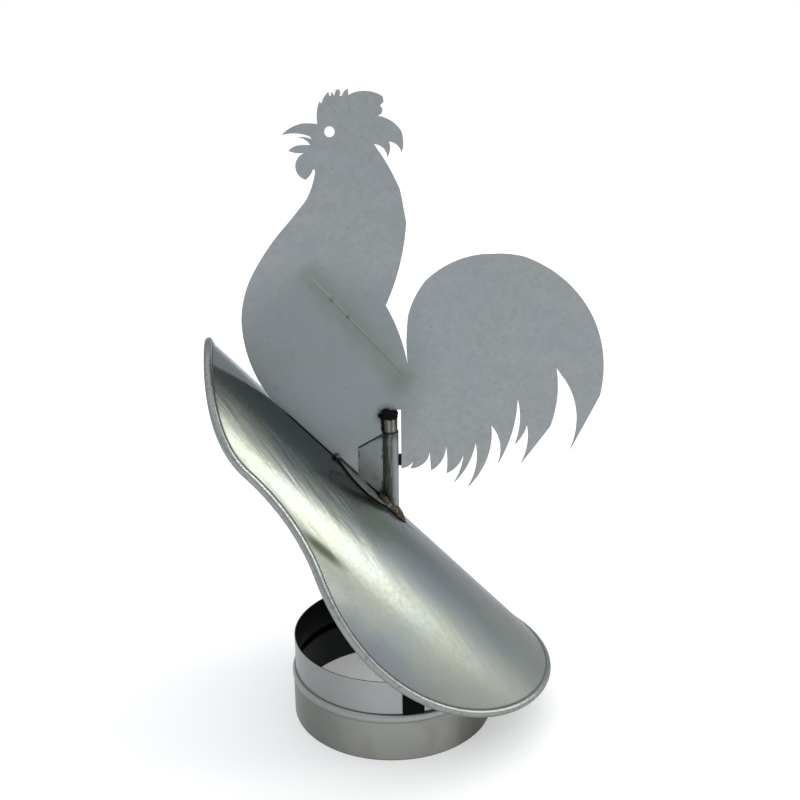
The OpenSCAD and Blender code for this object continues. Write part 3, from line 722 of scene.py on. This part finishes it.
def hood_outline(bm):
    """Edge of the flat sheet as a closed wire: round tail, hollow waist and round head, then mirrored."""
    span = TAIL_AT + HEAD_AT
    to_tail = TAIL_R + WAIST_R
    to_head = HEAD_R + WAIST_R
    back = (span * span + to_tail * to_tail - to_head * to_head) / (2 * span)
    side = math.sqrt(to_tail * to_tail - back * back)
    hollow = Vector((TAIL_AT - back, side, 0))
    tail = Vector((TAIL_AT, 0, 0))
    head = Vector((-HEAD_AT, 0, 0))
    a_tail = math.atan2(side, -back)
    a_head = math.atan2(side, span - back)
    start = bm.verts.new((TAIL_AT + TAIL_R, 0, 0))
    last = spun_on(bm, start, tail, a_tail, 70)
    last = spun_on(bm, last, hollow, a_head - a_tail, 26)
    last = spun_on(bm, last, head, math.pi - a_head, 56)
    ends = [v for v in bm.verts if v.co.x < head.x]
    bmesh.ops.scale(bm, vec=(HEAD_SQUASH, 1, 1), space=Matrix.Translation(-head), verts=ends)
    ends = [v for v in bm.verts if v.co.x > tail.x]
    bmesh.ops.scale(bm, vec=(TAIL_STRETCH, 1, 1), space=Matrix.Translation(-tail), verts=ends)
    start.co.y = 0
    last.co.y = 0
    bmesh.ops.mirror(bm, geom=bm.verts[:] + bm.edges[:], matrix=Matrix.Identity(4),
                     merge_dist=1e-6, axis="Y")


def ring_edges(verts):
    ring = set(verts)
    return list({e for v in verts for e in v.link_edges if e.other_vert(v) in ring})


def hood():
    """One sheet: out along its top face, round the roll and back along its underside, then bent."""
    bm = new_mesh()
    hood_outline(bm)
    edge_x, edge_y = mark_layer(bm, "edge_x"), mark_layer(bm, "edge_y")
    out_x, out_y = mark_layer(bm, "out_x"), mark_layer(bm, "out_y")
    roll, groove = mark_layer(bm, "roll"), mark_layer(bm, "groove")
    flat = bm.verts.layers.float_vector.new("flat")
    for v in bm.verts:
        a, b = [e.other_vert(v).co for e in v.link_edges]
        along = (a - b).normalized()
        out = Vector((along.y, -along.x, 0))
        middle = Vector((min(max(v.co.x, -HEAD_AT), TAIL_AT), 0, 0))
        if out.dot(v.co - middle) < 0:
            out.negate()
        v[edge_x], v[edge_y], v[out_x], v[out_y] = v.co.x, v.co.y, out.x, out.y

    def on_sheet(v, share, height, inset):
        """Place on the flat sheet: share 0 is the hole for the sleeve and share 1 where the roll begins."""
        toward = Vector((v[edge_x], v[edge_y])).normalized()
        hole = Vector((HOLE_R / math.cos(TILT) * toward.x - height * math.tan(TILT), HOLE_R * toward.y))
        end = Vector((v[edge_x] + inset * v[out_x], v[edge_y] + inset * v[out_y]))
        place = hole * (1 - share) + end * share
        return Vector((place.x, place.y, height))

    def on_roll(v, radius, degrees):
        a = math.radians(degrees)
        reach = radius * math.cos(a)
        return Vector((v[edge_x] + v[out_x] * reach, v[edge_y] + v[out_y] * reach,
                       radius * math.sin(a) - ROLL_UNDER))

    # The last value marks the crease where the roll meets the sheet, for painted shade
    def grow(verts, place, rolled=0.0, groove_shade=0.0):
        made = bmesh.ops.extrude_edge_only(bm, edges=ring_edges(verts))["geom"]
        ring = [g for g in made if isinstance(g, bmesh.types.BMVert)]
        for v in ring:
            v.co = place(v)
            v[roll], v[groove] = rolled, groove_shade
        return ring

    top = HOOD_T / 2
    inner_r = ROLL_R - HOOD_T
    meets_out = 180 - math.degrees(math.asin((ROLL_UNDER + top) / ROLL_R))
    meets_in = 180 - math.degrees(math.asin((ROLL_UNDER - top) / inner_r))
    inset_out = ROLL_R * math.cos(math.radians(meets_out))
    inset_in = inner_r * math.cos(math.radians(meets_in))
    shares = [(i / 22) ** 0.92 for i in range(22)] + [0.990, 1.0]
    first = bm.verts[:]
    for v in first:
        v.co = on_sheet(v, 0, top, inset_out)
    ring = first
    for share in shares[1:]:
        crease = 1.0 if share == 1.0 else 0.0
        ring = grow(ring, lambda v, s=share: on_sheet(v, s, top, inset_out), 0.5 * crease, crease)
    turns = 30
    for i in range(1, turns + 1):
        a = meets_out + (ROLL_END - meets_out) * i / turns
        ring = grow(ring, lambda v, a=a: on_roll(v, ROLL_R, a), 1.0)
    for i in range(turns // 2 + 1):
        a = ROLL_END + (meets_in - ROLL_END) * 2 * i / turns
        ring = grow(ring, lambda v, a=a: on_roll(v, inner_r, a), 0.3, 0.8)
    for share in reversed(shares[:-1:2]):
        ring = grow(ring, lambda v, s=share: on_sheet(v, s, -top, inset_in))
    bmesh.ops.bridge_loops(bm, edges=ring_edges(ring) + ring_edges(first))
    for v in bm.verts:
        v[flat] = v.co
        angle = v.co.y / HOOD_R
        out = HOOD_R + v.co.z
        v.co = Vector((v.co.x, -out * math.sin(angle), out * math.cos(angle) - HOOD_R))
    bmesh.ops.transform(bm, matrix=TO_CREST, verts=bm.verts[:])
    bmesh.ops.recalc_face_normals(bm, faces=bm.faces[:])
    put("hood_sheet_bent", bm, "vane", hood_zinc(), "hood", smooth=50)


# Weathercock, sleeve and welds

def outlines(bm):
    """The open edges of a sheet as closed rows of places."""
    rows = []
    seen = set()
    for start in bm.verts:
        row = []
        at = start if any(e.is_boundary for e in start.link_edges) else None
        while at is not None and at not in seen:
            seen.add(at)
            row.append(at.co.copy())
            ahead = [e.other_vert(at) for e in at.link_edges if e.is_boundary]
            at = next((v for v in ahead if v not in seen), None)
        if row:
            rows.append(row)
    return rows


def bow(before, start, end):
    """How far the way from start to end bows sideways, by the bend at its start. Corners stay sharp."""
    run = start - before
    way = end - start
    if run.angle(way) > math.radians(32):
        return Vector((0, 0, 0))
    lift = run.normalized() * min(run.length, way.length)
    return (lift - lift.project(way)) / 16


def finer(row):
    """Puts a place between each two of a closed row, on the round that its neighbours show."""
    fuller = []
    for i, start in enumerate(row):
        end, after = row[(i + 1) % len(row)], row[(i + 2) % len(row)]
        middle = (start + end) / 2 + bow(row[i - 1], start, end) + bow(after, end, start)
        fuller += [start, middle]
    return fuller


def rooster():
    """The cut sheet: its packed outline with the rounds drawn finer, filled and given its thickness."""
    front = packed_copy("rooster_plate")
    bmesh.ops.delete(front, geom=[f for f in front.faces if f.normal.y > -0.9], context="FACES")
    rows = outlines(front)
    front.free()
    bm = new_mesh()
    for row in rows:
        wire(bm, finer(finer(row)), True)
    bmesh.ops.triangle_fill(bm, edges=bm.edges[:], use_beauty=True, use_dissolve=False, normal=(0, -1, 0))
    made = bmesh.ops.extrude_face_region(bm, geom=bm.faces[:])["geom"]
    moved = [g for g in made if isinstance(g, bmesh.types.BMVert)]
    bmesh.ops.translate(bm, vec=(0, PLATE_T, 0), verts=moved)
    bmesh.ops.recalc_face_normals(bm, faces=bm.faces[:])
    mark_rim(bm, [f for f in bm.faces if abs(f.normal.y) < 0.5])
    put("rooster_sheet", bm, "vane", vane_zinc(), "rooster_plate", smooth=30)


def sleeve(burnt):
    ease = 0.3 * MM
    tube = turned([(TUBE_R, SLEEVE_LOW + ease), (TUBE_R, SLEEVE_TOP - ease), (TUBE_R - ease, SLEEVE_TOP),
                   (BORE_R, SLEEVE_TOP), (BORE_R, SLEEVE_LOW), (TUBE_R - ease, SLEEVE_LOW)], 64)
    put("sleeve_pipe", tube, "vane", tube_steel(), "sleeve_tube")
    plug = eased(packed_copy("sleeve_plug"), 0.25 * MM, 2, angle=60)
    put("sleeve_cap", plug, "vane", burnt, "sleeve_plug")
    wrap = eased(packed_copy("sleeve_wrap"), 0.16 * MM, 2, angle=50)
    put("sleeve_strip", wrap, "vane", sleeve_zinc(), "sleeve_wrap")


def cut_edge(bm):
    """The faces of a thin strip on the hood that stand square to the hood's sheet."""
    to_sheet = TO_CREST.inverted()
    found = []
    for face in bm.faces:
        out = to_sheet @ face.calc_center_median() + Vector((0, 0, HOOD_R))
        out.x = 0
        normal = to_sheet.to_3x3() @ face.normal
        if abs(normal.dot(out.normalized())) < 0.8:
            found.append(face)
    return found


def cleats_and_brace():
    zinc = cleat_zinc()
    for side in ("near", "far"):
        cleat = eased(packed_copy("foot_cleat_" + side), 0.22 * MM, 2, angle=42)
        # The edges square to the hood are marked as the rim, which gets painted shade
        mark_rim(cleat, cut_edge(cleat))
        put("cleat_strip_" + side, cleat, "vane", zinc, "foot_cleat_" + side)
    brace = eased(packed_copy("back_brace"), 0.35 * MM, 3)
    put("brace_strip", brace, "vane", brace_zinc(), "back_brace")


def cooled(bm, passes, size, grain, seed):
    """Rounds a weld's edges and pushes its surface in and out a little, as metal that has run and set."""
    for _ in range(passes):
        bmesh.ops.smooth_vert(bm, verts=bm.verts[:], factor=0.4,
                              use_axis_x=True, use_axis_y=True, use_axis_z=True)
    bm.normal_update()
    shift = Vector((seed, 2.3 * seed, -seed))
    for v in bm.verts:
        v.co += v.normal * size * noise.noise(v.co * grain + shift)
    return bm


def bead(node, cuts, size, grain, seed):
    """A packed weld with a cooled surface."""
    bm = packed_copy(node)
    bmesh.ops.subdivide_edges(bm, edges=bm.edges[:], cuts=cuts, use_grid_fill=True)
    bmesh.ops.triangulate(bm, faces=[f for f in bm.faces if len(f.verts) > 4])
    return cooled(bm, 2, size, grain, seed)


def lump(low, high, seed):
    """A lump of weld that fills the space between two corners."""
    low, high = Vector(low), Vector(high)
    bm = new_mesh()
    bmesh.ops.create_cube(bm, size=1)
    bmesh.ops.scale(bm, vec=high - low, verts=bm.verts[:])
    bmesh.ops.translate(bm, vec=(low + high) / 2, verts=bm.verts[:])
    bmesh.ops.subdivide_edges(bm, edges=bm.edges[:], cuts=9, use_grid_fill=True)
    return cooled(bm, 4, 0.5 * MM, 380, seed)


def notch_weld(burnt):
    """Burnt weld over the pipe's end in the plate's notch, with a thin run down its head side."""
    bm = bead("notch_weld", 2, 0.4 * MM, 380, 5.7)
    join(bm, lump(CAP_LOW, CAP_HIGH, 2.6))
    join(bm, lump(RUN_LOW, RUN_HIGH, 7.9))
    put("weld_in_notch", bm, "vane", burnt, "notch_weld", smooth=80)


def welds(burnt):
    bright = weld_steel()
    foot = bead("foot_weld", 3, 0.45 * MM, 420, 3.1)
    put("weld_at_foot", foot, "vane", bright, "foot_weld", smooth=80)
    notch_weld(burnt)
    tack = bead("tail_tack", 2, 0.15 * MM, 500, 1.9)
    put("tack_at_tail", tack, "vane", burnt, "tail_tack", smooth=80)
    tacks = bead("cleat_tacks", 1, 0.25 * MM, 600, 8.3)
    put("tacks_at_cleats", tacks, "vane", bright, "cleat_tacks", smooth=80)
    brace = bead("brace_welds", 3, 0.3 * MM, 520, 4.4)
    put("welds_at_brace", brace, "vane", bright, "brace_welds", smooth=80)


# Studio

def camera(scene):
    data = bpy.data.cameras.new("camera")
    data.lens = 45
    data.sensor_width = 36
    data.clip_end = 50
    view = bpy.data.objects.new("camera", data)
    forward = Vector(CAMERA_FORWARD).normalized()
    up = Vector(CAMERA_RIGHT).cross(forward).normalized()
    right = forward.cross(up)
    turn = Matrix((right, up, -forward)).transposed().to_4x4()
    view.matrix_world = Matrix.Translation(CAMERA_AT) @ turn
    scene.collection.objects.link(view)
    scene.camera = view


def floor(scene):
    """Pale paper, lit a little from below so that the shadows stay light."""
    bm = new_mesh()
    bmesh.ops.create_circle(bm, cap_ends=True, segments=96, radius=9)
    mesh = bpy.data.meshes.new("floor")
    bm.to_mesh(mesh)
    bm.free()
    paper = Finish("floor_paper", (0.86, 0.86, 0.86), 0.9, metallic=0.0)
    paper.stain(paper.fade(paper.grain(1.5, 2), 0.3, 0.7), (0.84, 0.84, 0.84))
    paper.surface.inputs["Emission Color"].default_value = (1, 1, 1, 1)
    paper.surface.inputs["Emission Strength"].default_value = 0.25
    mesh.materials.append(paper.close())
    piece = bpy.data.objects.new("floor", mesh)
    scene.collection.objects.link(piece)


def sky(scene):
    """Soft light from all round, with bright screens and dark ones for the metal to mirror."""
    world = bpy.data.worlds.new("studio_light")
    scene.world = world
    world.use_nodes = True
    world.node_tree.nodes.clear()
    f = Field(world.node_tree, "Generated")

    def screen(azimuth, height, wide, high, soft, roll=0):
        """An oval screen, all values in degrees but its softness."""
        space = f.node("ShaderNodeMapping", vector_type="TEXTURE")
        f.feed(space.inputs["Vector"], f.at)
        turns = (math.radians(roll), -math.radians(height), math.radians(azimuth))
        space.inputs["Rotation"].default_value = turns
        x, y, z = f.parts(space.outputs["Vector"])
        y = f.calc("DIVIDE", y, math.sin(math.radians(wide)))
        z = f.calc("DIVIDE", z, math.sin(math.radians(high)))
        reach = f.calc("SQRT", f.calc("ADD", f.times(y, y), f.times(z, z)))
        return f.times(f.fade(reach, 1 + soft, 1 - soft), f.fade(x, -0.1, 0.1))

    _, _, z = f.parts()
    colour = f.blend(f.fade(z, 0.35, 0.85), (0.80, 0.85, 0.92), (1.16, 1.16, 1.16))
    colour = f.blend(screen(4, 18, 18, 8.5, 0.8), colour, (1.7, 1.74, 1.54))
    colour = f.blend(screen(13.5, 25, 15, 6.6, 0.4, roll=35), colour, (4.8, 4.9, 4.3))
    colour = f.blend(screen(-22, 28.5, 8, 6, 0.2), colour, (11, 11.2, 9.8))
    colour = f.blend(screen(44, 14, 11, 6, 0.5, roll=-45), colour, (0.42, 0.50, 0.36))
    light = f.node("ShaderNodeBackground")
    f.feed(light.inputs["Color"], colour)
    behind = f.node("ShaderNodeBackground")
    behind.inputs["Color"].default_value = (1, 1, 1, 1)
    seen = f.node("ShaderNodeLightPath").outputs["Is Camera Ray"]
    mix = f.node("ShaderNodeMixShader")
    f.feed(mix.inputs[0], seen)
    f.feed(mix.inputs[1], light.outputs[0])
    f.feed(mix.inputs[2], behind.outputs[0])
    f.feed(f.node("ShaderNodeOutputWorld").inputs["Surface"], mix.outputs[0])


def studio():
    scene = bpy.context.scene
    scene.view_settings.view_transform = "Standard"
    camera(scene)
    floor(scene)
    sky(scene)


base_pieces()
hood()
rooster()
burnt_metal = burnt_steel()
sleeve(burnt_metal)
cleats_and_brace()
welds(burnt_metal)
studio()
